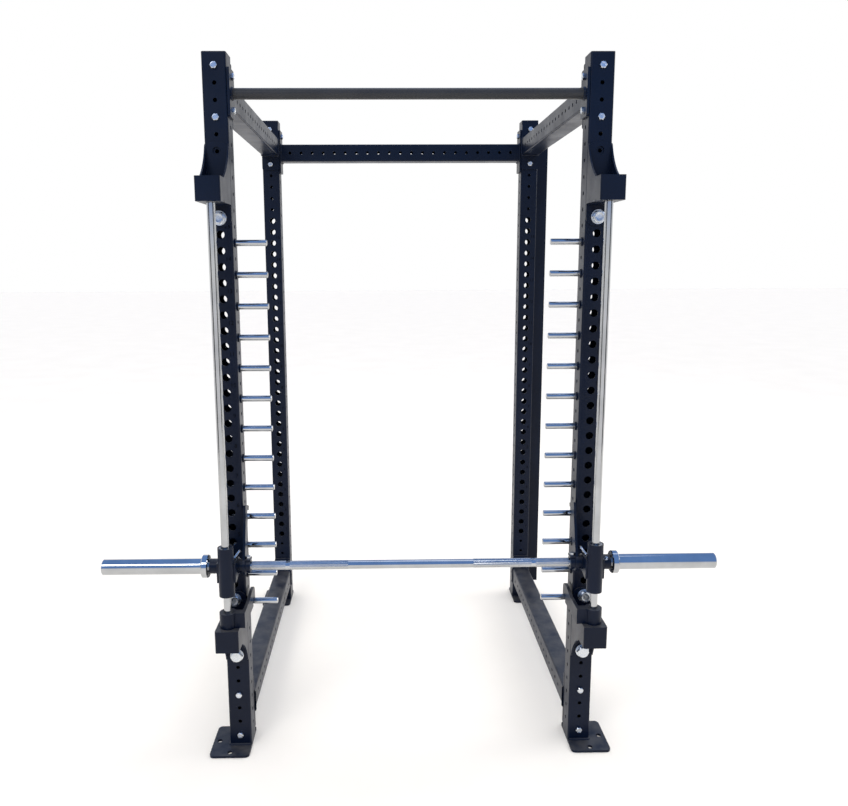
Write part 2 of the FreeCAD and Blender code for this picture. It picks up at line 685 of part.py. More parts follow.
def save_bar():
    shaft = bar_between(BAR_RADIUS, (-BAR_END, BAR_Y, BAR_HEIGHT), (BAR_END, BAR_Y, BAR_HEIGHT))
    start = HOUSING_OUTER + (SLEEVE_START - HOUSING_OUTER - SHOULDER) / 2
    shoulder = bar_between(SHOULDER_RADIUS, (start, BAR_Y, BAR_HEIGHT), (start + SHOULDER, BAR_Y, BAR_HEIGHT))
    save("bar_shaft", shaft.fuse(list(mirrored_pair(shoulder).values())))


def save_sleeves():
    start = (SLEEVE_START, BAR_Y, BAR_HEIGHT)
    end = (SLEEVE_END, BAR_Y, BAR_HEIGHT)
    collar_end = (SLEEVE_START + SLEEVE_COLLAR_WIDTH, BAR_Y, BAR_HEIGHT)
    collar = bar_between(SLEEVE_COLLAR_RADIUS, start, collar_end)
    rims = [edge for edge in collar.Edges if edge.Length > SLEEVE_COLLAR_RADIUS]
    collar = collar.makeChamfer(SLEEVE_CHAMFER, rims)
    sleeve = bar_between(SLEEVE_RADIUS, start, end).fuse(collar)
    sleeve = sleeve.cut(bar_between(SLEEVE_BORE, start, end))
    plug = bar_between(SLEEVE_BORE - RUNNING_FIT, (SLEEVE_END - SLEEVE_PLUG, BAR_Y, BAR_HEIGHT), end)
    lid = bar_between(SLEEVE_RADIUS, end, (SLEEVE_END + SLEEVE_CAP, BAR_Y, BAR_HEIGHT))
    outer_rim = [edge for edge in lid.Edges if edge.CenterOfMass.x > SLEEVE_END + SLEEVE_CAP - SLACK]
    cap = plug.fuse(lid.makeChamfer(SLEEVE_CHAMFER, outer_rim))
    bushings = []
    outer_bushing = SLEEVE_END - SLEEVE_PLUG - SLEEVE_BUSHING - SLEEVE_BUSHING_OUTER
    for x in (SLEEVE_START + SLEEVE_BUSHING_INNER, outer_bushing):
        bushings.append(ring_between(SLEEVE_BORE - RUNNING_FIT, BAR_RADIUS + RUNNING_FIT,
                                     (x, BAR_Y, BAR_HEIGHT), (x + SLEEVE_BUSHING, BAR_Y, BAR_HEIGHT)))
    sleeves = mirrored_pair(sleeve)
    caps = mirrored_pair(cap)
    bushing_pairs = mirrored_pair(Part.makeCompound(bushings))
    for side, name in SIDE_NAMES.items():
        save("sleeve_" + name, sleeves[side])
        save("sleeve_cap_" + name, caps[side])
        save("sleeve_bushings_" + name, bushing_pairs[side])


def polar(radius, angle):
    """Point in the YZ plane at an angle from straight up, turning towards the back."""
    turn = math.radians(angle)
    return (BAR_Y + radius * math.sin(turn), BAR_HEIGHT + radius * math.cos(turn))


def sector(inner, outer, start, end):
    """Outline of a ring sector about the bar."""
    middle = (start + end) / 2
    return [arc_yz(polar(outer, start), polar(outer, middle), polar(outer, end)),
            line_yz(polar(outer, end), polar(inner, end)),
            arc_yz(polar(inner, end), polar(inner, middle), polar(inner, start)),
            line_yz(polar(inner, start), polar(outer, start))]


def make_hook():
    """Right-hand hook plate at rest, turned forward so that it stands clear of the pegs."""
    peg = HOOK_ANGLE
    slot_in = HOOK_RADIUS - HOOK_SLOT
    slot_out = HOOK_RADIUS + HOOK_SLOT
    neck = HOOK_RADIUS - HOOK_NECK
    head = yz_plate(sector(neck, slot_out + HOOK_LIP, peg - HOOK_BACK_ANGLE, peg + HOOK_TIP_ANGLE),
                    HOOK_INNER, HOOK_PLATE)
    beyond = peg + 3 * HOOK_TIP_ANGLE
    slot = yz_plate(sector(slot_in, slot_out, peg, beyond), HOOK_INNER, HOOK_PLATE)
    jaw_cut = yz_plate(sector(neck - 1, slot_in + 1, peg + HOOK_JAW_ANGLE, beyond), HOOK_INNER, HOOK_PLATE)
    seat_y, seat_z = polar(HOOK_RADIUS, peg)
    seat = bar_between(HOOK_SLOT, (HOOK_INNER, seat_y, seat_z), (HOOK_INNER + HOOK_PLATE, seat_y, seat_z))

    root = bar_between(HOOK_ROOT_RADIUS, (HOOK_INNER, BAR_Y, BAR_HEIGHT),
                       (HOOK_INNER + HOOK_PLATE, BAR_Y, BAR_HEIGHT))
    reach = neck + 1
    across = peg - HOOK_ROOT_TURN + 90
    corners = [polar(HOOK_ROOT_HALF, across - 180), polar(reach, peg - HOOK_BACK_ANGLE),
               polar(reach, peg + HOOK_JAW_ANGLE), polar(HOOK_ROOT_HALF, across)]
    edges = [line_yz(a, b) for a, b in zip(corners, corners[1:] + corners[:1])]
    arm = yz_plate(edges, HOOK_INNER, HOOK_PLATE)
    bore = bar_between(BAR_RADIUS + RUNNING_FIT, (0, BAR_Y, BAR_HEIGHT), (BAR_END, BAR_Y, BAR_HEIGHT))
    return head.fuse([arm, root]).cut([slot, jaw_cut, seat, bore]).removeSplitter()


def save_hooks():
    hooks = mirrored_pair(make_hook())
    for side, name in SIDE_NAMES.items():
        save("lock_hook_" + name, hooks[side])
    collar = bar_between(HUB_RADIUS, (HOOK_INNER - HUB_WIDTH, BAR_Y, BAR_HEIGHT), (HOOK_INNER, BAR_Y, BAR_HEIGHT))
    spacer_start = HOOK_INNER + HOOK_PLATE
    spacer = bar_between(HUB_RADIUS, (spacer_start, BAR_Y, BAR_HEIGHT),
                         (HOUSING_INNER - 2 * BUTT_GAP, BAR_Y, BAR_HEIGHT))
    depth, ear_height = HUB_EAR
    ear_x = HOOK_INNER - HUB_WIDTH - OVERLAP
    ear_z = BAR_HEIGHT + HUB_RADIUS - OVERLAP
    ear = block((ear_x, HOOK_INNER), (BAR_Y - depth / 2, BAR_Y + depth / 2), (ear_z, ear_z + ear_height))
    bore = bar_between(BAR_RADIUS + RUNNING_FIT, (0, BAR_Y, BAR_HEIGHT), (BAR_END, BAR_Y, BAR_HEIGHT))
    screw_x = HOOK_INNER - HUB_WIDTH / 2
    screw_foot = (screw_x, BAR_Y, BAR_HEIGHT + BAR_RADIUS + 1)
    screw_top = ear_z + ear_height
    thread = bar_between(HUB_SCREW, screw_foot, (screw_x, BAR_Y, screw_top))
    screw_hole = bar_between(HUB_SCREW + LOOSE_FIT, (screw_x, BAR_Y, BAR_HEIGHT), (screw_x, BAR_Y, screw_top))
    head_top = (screw_x, BAR_Y, screw_top + HUB_SCREW_HEIGHT)
    head = bar_between(HUB_SCREW_HEAD, (screw_x, BAR_Y, screw_top), head_top)
    hubs = list(mirrored_pair(collar.fuse(ear).cut([bore, screw_hole])).values())
    hubs.extend(mirrored_pair(spacer.cut(bore)).values())
    save("hook_hubs", hubs)
    save("hub_screws", list(mirrored_pair(thread.fuse(head)).values()))


# Safety stops

def make_safety_stop():
    """Right-hand stop: a collar on the rod, a block beside it and an arm over a peg."""
    top = SAFETY_Z + SAFETY_HEIGHT
    collar = bar_between(SAFETY_RADIUS, (UPRIGHT_X, ROD_Y, SAFETY_Z), (UPRIGHT_X, ROD_Y, top))
    half_depth = SAFETY_BLOCK_DEPTH / 2
    side_block = block((SAFETY_INNER, UPRIGHT_X), (ROD_Y - half_depth, ROD_Y + half_depth), (SAFETY_Z, top))
    peg_z = row_z(SAFETY_PEG_ROW)
    rear = FRONT_MID_Y + SAFETY_SLOT + SAFETY_REAR_LEG
    crown = peg_z + SAFETY_SLOT + SAFETY_ARCH
    slope_end = FRONT_MID_Y - SAFETY_SLOT - SAFETY_REAR_LEG
    lean = SAFETY_CORNER * (1 - math.sqrt(0.5))
    outline = [line_yz((ROD_Y - half_depth, SAFETY_Z), (ROD_Y - half_depth, top)),
               line_yz((ROD_Y - half_depth, top), (slope_end - PITCH, top)),
               line_yz((slope_end - PITCH, top), (slope_end, crown)),
               line_yz((slope_end, crown), (rear - SAFETY_CORNER, crown)),
               arc_yz((rear - SAFETY_CORNER, crown), (rear - lean, crown - lean), (rear, crown - SAFETY_CORNER)),
               line_yz((rear, crown - SAFETY_CORNER), (rear, SAFETY_Z)),
               line_yz((rear, SAFETY_Z), (ROD_Y - half_depth, SAFETY_Z))]
    arm = yz_plate(outline, SAFETY_INNER, SAFETY_ARM)
    arm_end = SAFETY_INNER + SAFETY_ARM
    slot = block((SAFETY_INNER, arm_end), (FRONT_MID_Y - SAFETY_SLOT, FRONT_MID_Y + SAFETY_SLOT),
                 (SAFETY_Z, peg_z))
    arch = bar_between(SAFETY_SLOT, (SAFETY_INNER, FRONT_MID_Y, peg_z), (arm_end, FRONT_MID_Y, peg_z))
    bore = bar_between(SAFETY_BORE, (UPRIGHT_X, ROD_Y, SAFETY_Z), (UPRIGHT_X, ROD_Y, top))
    return collar.fuse([side_block, arm]).cut([slot, arch, bore]).removeSplitter()


def save_safety_stops():
    stops = mirrored_pair(make_safety_stop())
    bush = ring_between(SAFETY_BORE - RUNNING_FIT, ROD_RADIUS + RUNNING_FIT, (UPRIGHT_X, ROD_Y, SAFETY_Z),
                        (UPRIGHT_X, ROD_Y, SAFETY_Z + SAFETY_HEIGHT))
    bushes = mirrored_pair(bush)
    for side, name in SIDE_NAMES.items():
        save("safety_stop_" + name, stops[side])
        save("safety_bush_" + name, bushes[side])


def main():
    os.makedirs("parts", exist_ok=True)
    save_uprights()
    save_feet_and_caps()
    save_side_beams()
    save_crossmember()
    save_pull_up_bar()
    save_rear_side_rail()
    save_frame_fasteners()
    save_pegs()
    save_brackets()
    save_bracket_fasteners()
    save_rods()
    save_carriage_tubes()
    save_bar_housings()
    save_gussets()
    save_stop_screws()
    save_bar()
    save_sleeves()
    save_hooks()
    save_safety_stops()


main()
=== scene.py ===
import bpy
import json
import math
from mathutils import Matrix, Vector


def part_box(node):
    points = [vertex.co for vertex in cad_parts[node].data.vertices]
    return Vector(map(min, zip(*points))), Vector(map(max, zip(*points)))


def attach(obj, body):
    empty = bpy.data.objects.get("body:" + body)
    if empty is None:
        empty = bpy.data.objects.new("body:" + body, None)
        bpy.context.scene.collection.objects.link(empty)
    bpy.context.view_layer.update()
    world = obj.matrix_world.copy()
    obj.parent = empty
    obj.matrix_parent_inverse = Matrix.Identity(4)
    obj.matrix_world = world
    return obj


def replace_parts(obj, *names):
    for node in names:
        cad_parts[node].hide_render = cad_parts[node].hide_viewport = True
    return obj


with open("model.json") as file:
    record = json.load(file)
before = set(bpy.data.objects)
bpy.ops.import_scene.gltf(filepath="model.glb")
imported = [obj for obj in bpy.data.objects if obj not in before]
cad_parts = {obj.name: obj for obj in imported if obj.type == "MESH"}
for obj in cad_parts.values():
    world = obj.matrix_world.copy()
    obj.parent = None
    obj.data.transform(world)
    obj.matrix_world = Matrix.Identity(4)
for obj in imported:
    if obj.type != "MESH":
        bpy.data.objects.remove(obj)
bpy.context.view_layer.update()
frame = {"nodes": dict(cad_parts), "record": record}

# Everything is in metres in the CAD frame: X right, Y back, Z up, floor at z = 0.
MM = 0.001
LEFT, RIGHT = -1, 1
X, Y, Z = Vector((1, 0, 0)), Vector((0, 1, 0)), Vector((0, 0, 1))

# Hole pattern, counted in rows from the top of an upright
PITCH = 50 * MM
FIRST_NUMBERED_ROW = 9.5
NUMBERS = 15
NUMBER_OFFSET = 22 * MM
NUMBER_SIZE = 19 * MM
# Numeral inlays: thin near-black plates that paint the shade inside the cut numbers.
NUMERAL_INLAY = 0.12 * MM

# Fasteners
FRAME_THREAD = (6.0 * MM, 1.75 * MM, 4.0 * MM)
BRACKET_THREAD = (12.0 * MM, 3.0 * MM, 5.0 * MM)
THREAD_DEPTH = 0.5 * MM
THREAD_TIP = 0.45 * MM
BRACKET_BOX = 72 * MM
FRAME_HEAD_FACE = 8.2 * MM
BRACKET_HEAD_FACE = 15.5 * MM
BEAM_BOLT_ROWS = (0, 3, 41, 44)
CROSSMEMBER_BOLT_ROWS = (0.5,)
PULL_UP_BOLT_ROWS = (0.5, 2.5)
BRACKET_BOLT_ROWS = (9, 34, 38)
PEG_ROWS = [10.5 + 2 * step for step in range(13)]
PLUG_WELD = 6.4 * MM

# Guide rod brackets: plate, how far the cheeks' edges stand in, and the lid's tabs
BRACKET_PLATE = 5 * MM
EDGE_INSET = 4 * MM
TAB_START, TAB_END = 45 * MM, 75 * MM
TAB_HALF_HEIGHT = 2.1 * MM
TAB_SUNK, TAB_PROUD = 0.3 * MM, 0.35 * MM
TAB_BEVEL = 0.25 * MM

# Carriage: gusset plate, where its welds run beside the bar, clips, stops and nipple
GUSSET = 5 * MM
HOUSING_WELD_START = 34 * MM
TUBE_WELD_LOW, TUBE_WELD_HIGH = -34 * MM, 27 * MM
TUBE_WELD_FRONT = 4 * MM
CLIP_TOP_INSET, CLIP_BOTTOM_INSET = 1.7 * MM, 0.3 * MM
STOP_X = 573 * MM
STOP_LEAN = math.radians(36)
STOP_SUNK = 2 * MM
STOP_NUT = (13 * MM, 7 * MM, 1.0 * MM)
STOP_THREAD = (3.6 * MM, 1.25 * MM, 36 * MM, 24)
NIPPLE_NUT = (11 * MM, 4.5 * MM, 1.0 * MM)
NIPPLE_SUNK = 0.6 * MM

# Safety stops
SAFETY_COLLAR = 27 * MM
SAFETY_HALF_BLOCK = 13 * MM
SAFETY_WELD_MARGIN = 2 * MM

# Welds
FRAME_WELD = 5.0 * MM
SMALL_WELD = 3.2 * MM
PULL_UP_WELD = SMALL_WELD * 1.3
RIPPLE = 4.2 * MM
WELD_STEP = 1.3 * MM
STITCH = 40 * MM
STITCH_SPACING = 310 * MM
CORNER_STEPS = 6

# Barbell
KNURL_PITCH = 2.2 * MM
KNURL_HEIGHT = 0.32 * MM
KNURL_BANDS = [(202 * MM, 393 * MM), (403 * MM, 516 * MM)]
RING_GROOVE = 398 * MM
BAR_RADIUS = 14 * MM
HUB_RADIUS = 22 * MM
HUB_SCREW = 8 * MM
COLLAR_WIDTH = 21 * MM

up_lo, up_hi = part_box("upright_front_right")
rear_lo, rear_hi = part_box("upright_rear_right")
INNER_X, OUTER_X = up_lo.x, up_hi.x
UPRIGHT_X = (INNER_X + OUTER_X) / 2
HALF = (OUTER_X - INNER_X) / 2
FRONT_Y, REAR_Y = up_lo.y, rear_lo.y
FOOT_TOP = up_lo.z
bar_lo, bar_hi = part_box("bar_shaft")
BAR_Y, BAR_Z = (bar_lo.y + bar_hi.y) / 2, (bar_lo.z + bar_hi.z) / 2
rod_lo, rod_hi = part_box("guide_rod_right")
ROD_Y = (rod_lo.y + rod_hi.y) / 2
ROD_RADIUS = (rod_hi.y - rod_lo.y) / 2


def row_z(row):
    return up_hi.z - HALF - PITCH * row


# Mesh building

class Shape:
    """Collects vertices and faces, then becomes one object."""

    def __init__(self):
        self.points = []
        self.faces = []

    def add(self, part, matrix=Matrix.Identity(4)):
        points, faces = part
        start = len(self.points)
        self.points.extend(matrix @ Vector(point) for point in points)
        flip = matrix.determinant() < 0
        for face in faces:
            order = reversed(face) if flip else face
            self.faces.append([start + index for index in order])

    def build(self, name, material, body, slot, smooth_angle=40):
        mesh = bpy.data.meshes.new(name)
        mesh.from_pydata([tuple(point) for point in self.points], [], self.faces)
        mesh.validate()
        mesh.materials.append(material)
        if smooth_angle:
            mesh.shade_smooth()
            mesh.set_sharp_from_angle(angle=math.radians(smooth_angle))
        piece = bpy.data.objects.new(name, mesh)
        bpy.context.scene.collection.objects.link(piece)
        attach(piece, body)
        return piece


def grid_faces(rows, columns, closed=True, flip=False):
    """Quads over a grid of points, joined round in the column direction."""
    faces = []
    for row in range(rows - 1):
        for column in range(columns if closed else columns - 1):
            after = (column + 1) % columns
            quad = [row * columns + column, row * columns + after,
                    (row + 1) * columns + after, (row + 1) * columns + column]
            faces.append(quad[::-1] if flip else quad)
    return faces


def lathe(profile, segments=40):
    """Surface of revolution about Z from (radius, height) pairs; ends are capped."""
    points = []
    for radius, height in profile:
        for step in range(segments):
            turn = 2 * math.pi * step / segments
            points.append((radius * math.cos(turn), radius * math.sin(turn), height))
    faces = grid_faces(len(profile), segments)
    faces.append(list(range(segments))[::-1])
    faces.append([(len(profile) - 1) * segments + step for step in range(segments)])
    return points, faces


def in_mm(profile):
    """Outline given in millimetres, as (radius, height) pairs."""
    return [(radius * MM, height * MM) for radius, height in profile]


def ring(profile, segments=40):
    """Closed ring about Z from a loop of (radius, height) pairs."""
    points, faces = lathe(profile + profile[:1], segments)
    return points, faces[:-2]


def hexagon(across_flats, height, bevel):
    """Hexagonal nut blank about Z with a rounded top edge."""
    corner = across_flats / math.sqrt(3)
    levels = [(corner, 0),
              (corner, height - bevel),
              (corner - bevel * 0.35, height - bevel * 0.3),
              (corner - bevel, height)]
    return lathe(levels, 6)


def thread(radius, pitch, length, segments=28):
    """Threaded end of a bolt along Z with a chamfered tip."""
    per_turn = 5
    rows = int(length / pitch * per_turn) + 1
    points = []
    for row in range(rows):
        height = length * row / (rows - 1)
        for step in range(segments):
            turn = step / segments
            phase = (height / pitch - turn) % 1
            crest = 1 - abs(2 * phase - 1)
            fade = min(1.0, (length - height) / (0.6 * pitch))
            reach = radius + THREAD_DEPTH * crest * max(fade, 0.05) + 0.02 * MM
            angle = 2 * math.pi * turn
            points.append((reach * math.cos(angle), reach * math.sin(angle), height))
    tip = len(points)
    for radius_share, rise in ((0.93, 0.45 * MM), (0.6, 0.5 * MM)):
        for step in range(segments):
            angle = 2 * math.pi * step / segments
            points.append((radius * radius_share * math.cos(angle),
                           radius * radius_share * math.sin(angle), length + rise))
    faces = grid_faces(rows + 2, segments)
    faces.append([tip + segments + step for step in range(segments)])
    return points, faces


def aimed(origin, direction):
    """Matrix that puts a shape made along Z at a place, pointing another way."""
    turn = Vector(direction).to_track_quat("Z", "Y").to_matrix().to_4x4()
    return Matrix.Translation(Vector(origin)) @ turn


# Welds

def weld(path, width, closed):
    """Rippled fillet along (corner, first direction, second direction) places."""
    across = 5
    points = []
    travelled = 0.0
    for index, (corner, first, second) in enumerate(path):
        if index:
            travelled += (corner - path[index - 1][0]).length
        swell = 1 + 0.09 * math.sin(2 * math.pi * travelled / RIPPLE)
        swell += 0.03 * math.sin(23.0 * travelled / RIPPLE)
        for step in range(across):
            turn = math.pi / 2 * step / (across - 1)
            round_share = 0.55 + 0.45 / (math.cos(turn) + math.sin(turn))
            reach = width * swell * round_share
            across_first = first * (reach * math.cos(turn))
            points.append(corner + across_first + second * (reach * math.sin(turn)))
    rows = len(path)
    faces = grid_faces(rows, across, closed=False)
    if closed:
        for step in range(across - 1):
            last = (rows - 1) * across + step
            faces.append([last, last + 1, step + 1, step])
    else:
        faces.append(list(range(across)))
        faces.append([(rows - 1) * across + step for step in range(across)][::-1])
    return points, faces


def straight(start, end, first, second):
    """Weld path along a straight corner."""
    start, end = Vector(start), Vector(end)
    steps = max(2, int((end - start).length / WELD_STEP))
    return [(start.lerp(end, step / steps), first, second) for step in range(steps + 1)]


def round_path(centre, axis_a, axis_b, second, radius):
    """Weld path round a tube of circular section."""
    steps = int(2 * math.pi * radius / WELD_STEP)
    path = []
    for step in range(steps):
        turn = 2 * math.pi * step / steps
        outward = axis_a * math.cos(turn) + axis_b * math.sin(turn)
        path.append((centre + outward * radius, outward, second))
    return path


def square_path(centre, axis_a, axis_b, second, corner=6 * MM):
    """Weld path round a square tube with rounded corners."""
    path = []
    for quarter in range(4):
        turn = math.pi / 2 * quarter
        side = axis_a * math.cos(turn) + axis_b * math.sin(turn)
        along = axis_b * math.cos(turn) - axis_a * math.sin(turn)
        flat = HALF - corner
        steps = int(2 * flat / WELD_STEP)
        for step in range(steps):
            spot = -flat + 2 * flat * step / steps
            path.append((centre + side * HALF + along * spot, side, second))
        pivot = centre + side * flat + along * flat
        for step in range(CORNER_STEPS):
            bend = math.pi / 2 * step / CORNER_STEPS
            outward = side * math.cos(bend) + along * math.sin(bend)
            path.append((pivot + outward * corner, outward, second))
    return path


def open_run(path):
    """A path cut out of a loop, put in order so that it starts and ends at the cut."""
    gap = max(range(len(path)), key=lambda i: (path[i][0] - path[i - 1][0]).length)
    return path[gap:] + path[:gap]


# Materials. Each is a small node tree in object space, so its grain has a real size.

class Finish:
    """One procedural material with helpers for its nodes."""

    def __init__(self, name):
        self.material = bpy.data.materials.new(name)
        self.material.use_nodes = True
        self.nodes = self.material.node_tree.nodes
        self.links = self.material.node_tree.links
        self.shader = self.nodes["Principled BSDF"]
        self.place = self.nodes.new("ShaderNodeTexCoord").outputs["Object"]

    def noise(self, scale, detail=3.0, roughness=0.5, stretch=None):
        node = self.nodes.new("ShaderNodeTexNoise")
        node.inputs["Scale"].default_value = scale
        node.inputs["Detail"].default_value = detail
        node.inputs["Roughness"].default_value = roughness
        place = self.place
        if stretch:
            mapping = self.nodes.new("ShaderNodeMapping")
            mapping.inputs["Scale"].default_value = stretch
            self.links.new(place, mapping.inputs["Vector"])
            place = mapping.outputs["Vector"]
        self.links.new(place, node.inputs["Vector"])
        return node.outputs["Fac"]

    def spread(self, value, low, high, start=0.3, end=0.7):
        """Maps a value between start and end onto low to high."""
        node = self.nodes.new("ShaderNodeMapRange")
        node.inputs["From Min"].default_value = start
        node.inputs["From Max"].default_value = end
        node.inputs["To Min"].default_value = low
        node.inputs["To Max"].default_value = high
        self.links.new(value, node.inputs["Value"])
        return node.outputs["Result"]

    def times(self, first, second):
        node = self.nodes.new("ShaderNodeMath")
        node.operation = "MULTIPLY"
        self.links.new(first, node.inputs[0])
        self.links.new(second, node.inputs[1])
        return node.outputs[0]

    def blend(self, factor, first, second):
        """Mixes two colours; each is a colour or a node's output."""
        node = self.nodes.new("ShaderNodeMix")
        node.data_type = "RGBA"
        self.links.new(factor, node.inputs[0])
        for socket, value in ((node.inputs[6], first), (node.inputs[7], second)):
            if isinstance(value, tuple):
                socket.default_value = (*value, 1)
            else:
                self.links.new(value, socket)
        return node.outputs[2]

    def bump(self, height, distance, strength=1.0, normal=None):
        node = self.nodes.new("ShaderNodeBump")
        node.inputs["Strength"].default_value = strength
        node.inputs["Distance"].default_value = distance
        self.links.new(height, node.inputs["Height"])
        if normal:
            self.links.new(normal, node.inputs["Normal"])
        return node.outputs["Normal"]

    def soft_edges(self, radius):
        """Normals rounded over sharp edges, and how close a place is to one."""
        node = self.nodes.new("ShaderNodeBevel")
        node.samples = 4
        node.inputs["Radius"].default_value = radius
        surface = self.nodes.new("ShaderNodeNewGeometry").outputs["Normal"]
        turned = self.nodes.new("ShaderNodeVectorMath")
        turned.operation = "DOT_PRODUCT"
        self.links.new(node.outputs["Normal"], turned.inputs[0])
        self.links.new(surface, turned.inputs[1])
        return node.outputs["Normal"], self.spread(turned.outputs["Value"], 1.0, 0.0, 0.8, 0.99)

    def facing_up(self):
        """1 on surfaces that face up."""
        split = self.nodes.new("ShaderNodeSeparateXYZ")
        self.links.new(self.nodes.new("ShaderNodeNewGeometry").outputs["Normal"], split.inputs[0])
        return self.spread(split.outputs["Z"], 0.0, 1.0, 0.5, 0.95)

    def set(self, **sockets):
        """Sets shader inputs: a node's output is linked and a plain value is set."""
        for name, value in sockets.items():
            socket = self.shader.inputs[name.replace("_", " ")]
            if isinstance(value, bpy.types.NodeSocket):
                self.links.new(value, socket)
            else:
                socket.default_value = (*value, 1) if isinstance(value, tuple) else value
        return self.material


def powder_coat(name, dark, light, edge_chip_and_highlight_colour, rough):
    """Satin powder coat: orange peel, uneven gloss, lighter edges that are partly chips and partly a
    painted highlight, and lighter upward faces.
    """
    finish = Finish(name)
    edges, edge_wear_and_highlight_mask = finish.soft_edges(0.9 * MM)
    tone = finish.blend(finish.spread(finish.noise(4.0, 5.0), 0.0, 1.0), dark, light)
    # Lighter colour near edges: partly chipped coat, partly a painted edge highlight.
    chipped_edges_and_highlight = finish.times(edge_wear_and_highlight_mask, finish.spread(finish.noise(60.0, 6.0, 0.65), 0.0, 0.75, 0.42, 0.68))
    tone = finish.blend(chipped_edges_and_highlight, tone, edge_chip_and_highlight_colour)
    # Upward faces lightened towards a pale grey.
    upward_lightening = finish.times(finish.facing_up(), finish.spread(finish.noise(18.0, 6.0, 0.6), 0.02, 0.16))
    tone = finish.blend(upward_lightening, tone, (0.36, 0.35, 0.33))
    peel = finish.bump(finish.noise(420.0, 2.0), 0.10 * MM, 0.35, edges)
    gloss = finish.spread(finish.noise(9.0, 4.0, 0.6), rough - 0.05, rough + 0.07)
    return finish.set(Base_Color=tone, Roughness=gloss, Normal=peel, Specular_IOR_Level=0.2)


def plated(name, dark, light, rough, grain, scratch_depth):
    """Plated metal with polishing lines, faint scratches and handling marks."""
    finish = Finish(name)
    tone = finish.blend(finish.spread(finish.noise(14.0, 4.0), 0.0, 1.0), dark, light)
    lines = finish.noise(1.0, 3.0, 0.6, grain)
    marks = finish.spread(finish.noise(30.0, 7.0, 0.7), rough * 0.75, rough * 1.7, 0.4, 0.75)
    normal = finish.bump(lines, scratch_depth, 0.5)
    return finish.set(Base_Color=tone, Metallic=1.0, Roughness=marks, Normal=normal)


def moulded(name, dark, light, rough, depth):
    """Plastic or rubber with a fine moulded grain."""
    finish = Finish(name)
    tone = finish.blend(finish.spread(finish.noise(25.0, 5.0), 0.0, 1.0), dark, light)
    gloss = finish.spread(finish.noise(80.0, 3.0), rough - 0.06, rough + 0.08)
    grain = finish.bump(finish.noise(1500.0, 2.0), depth, 0.6)
    return finish.set(Base_Color=tone, Roughness=gloss, Normal=grain)


def printed(name):
    """Matt black numerals: painted shade inside the laser-cut numbers, with faint lighter speckle."""
    finish = Finish(name)
    lighter_speckle = finish.spread(finish.noise(900.0, 5.0, 0.7), 0.0, 0.6, 0.52, 0.66)
    tone = finish.blend(lighter_speckle, (0.0006, 0.0007, 0.0010), (0.004, 0.0045, 0.006))
    return finish.set(Base_Color=tone, Roughness=finish.spread(finish.noise(200.0), 0.75, 0.9),
                      Normal=finish.bump(finish.noise(1200.0), 0.03 * MM, 0.5), Specular_IOR_Level=0.08)


def studio_floor(name):
    """Plain pale floor, faintly uneven in tone."""
    finish = Finish(name)
    cloud = finish.spread(finish.noise(2.0, 6.0), 0.0, 1.0)
    tone = finish.blend(cloud, (0.93, 0.91, 0.88), (0.96, 0.94, 0.91))
    return finish.set(Base_Color=tone, Roughness=finish.spread(finish.noise(6.0, 5.0), 0.55, 0.7),
                      Normal=finish.bump(finish.noise(300.0, 3.0), 0.1 * MM, 0.2), Specular_IOR_Level=0.25)


def make_materials():
    fine, turned = (700.0, 700.0, 60.0), (900.0, 900.0, 80.0)
    return {
        # frame_coat is near black; the navy tint of its colours is a painted reflection of the blue sky.
        "frame_coat": powder_coat("frame_coat", (0.001, 0.004, 0.014), (0.002, 0.007, 0.023),
                                  (0.04, 0.05, 0.08), 0.34),
        "bar_coat": powder_coat("bar_coat", (0.030, 0.031, 0.034), (0.046, 0.047, 0.05),
                                (0.18, 0.18, 0.18), 0.34),
        "chrome": plated("chrome", (0.42, 0.43, 0.44), (0.52, 0.53, 0.54), 0.085, fine, 0.004 * MM),
        "zinc": plated("zinc", (0.52, 0.55, 0.58), (0.74, 0.76, 0.78), 0.27,
                       (500.0, 500.0, 500.0), 0.02 * MM),
        "steel": plated("steel", (0.32, 0.33, 0.35), (0.46, 0.47, 0.48), 0.30, turned, 0.02 * MM),
        "bronze": plated("bronze", (0.42, 0.26, 0.12), (0.60, 0.40, 0.21), 0.33,
                         (700.0, 700.0, 700.0), 0.02 * MM),
        "nylon": moulded("nylon", (0.018, 0.018, 0.019), (0.030, 0.030, 0.031), 0.5, 0.05 * MM),
        "rubber": moulded("rubber", (0.012, 0.012, 0.012), (0.022, 0.022, 0.022), 0.7, 0.08 * MM),
        "black_plastic": moulded("black_plastic", (0.011, 0.013, 0.018), (0.019, 0.021, 0.027),
                                 0.48, 0.10 * MM),
    }


def paint_cad_nodes(materials):
    for part in frame["record"]["subparts"]:
        mesh = frame["nodes"][part["node"]].data
        mesh.materials.clear()
        mesh.materials.append(materials[part["material_slot"]])


# Detail pieces

def add_numbers():
    """Position numbers beside every second gap between the large holes."""
    numbers = Shape()
    for y in (FRONT_Y, REAR_Y):
        for side in (LEFT, RIGHT):
            for number in range(1, NUMBERS + 1):
                text = bpy.data.curves.new("number", "FONT")
                text.body = str(number)
                text.size = NUMBER_SIZE
                text.align_x = "CENTER"
                text.align_y = "CENTER"
                text.extrude = NUMERAL_INLAY
                text.resolution_u = 3
                holder = bpy.data.objects.new("number", text)
                mesh = bpy.data.meshes.new_from_object(holder)
                row = FIRST_NUMBERED_ROW + 2 * (NUMBERS - number)
                place = Matrix.Translation((side * UPRIGHT_X + NUMBER_OFFSET, y, row_z(row)))
                points = [tuple(vertex.co) for vertex in mesh.vertices]
                faces = [list(face.vertices) for face in mesh.polygons]
                numbers.add((points, faces), place @ Matrix.Rotation(math.pi / 2, 4, "X"))
                bpy.data.objects.remove(holder)
                bpy.data.curves.remove(text)
                bpy.data.meshes.remove(mesh)
    # The numerals are near-black inlays: painted shade of the laser-cut numbers.
    numbers.build("position_numbers", printed("numeral_shade"), "frame", None, 0)


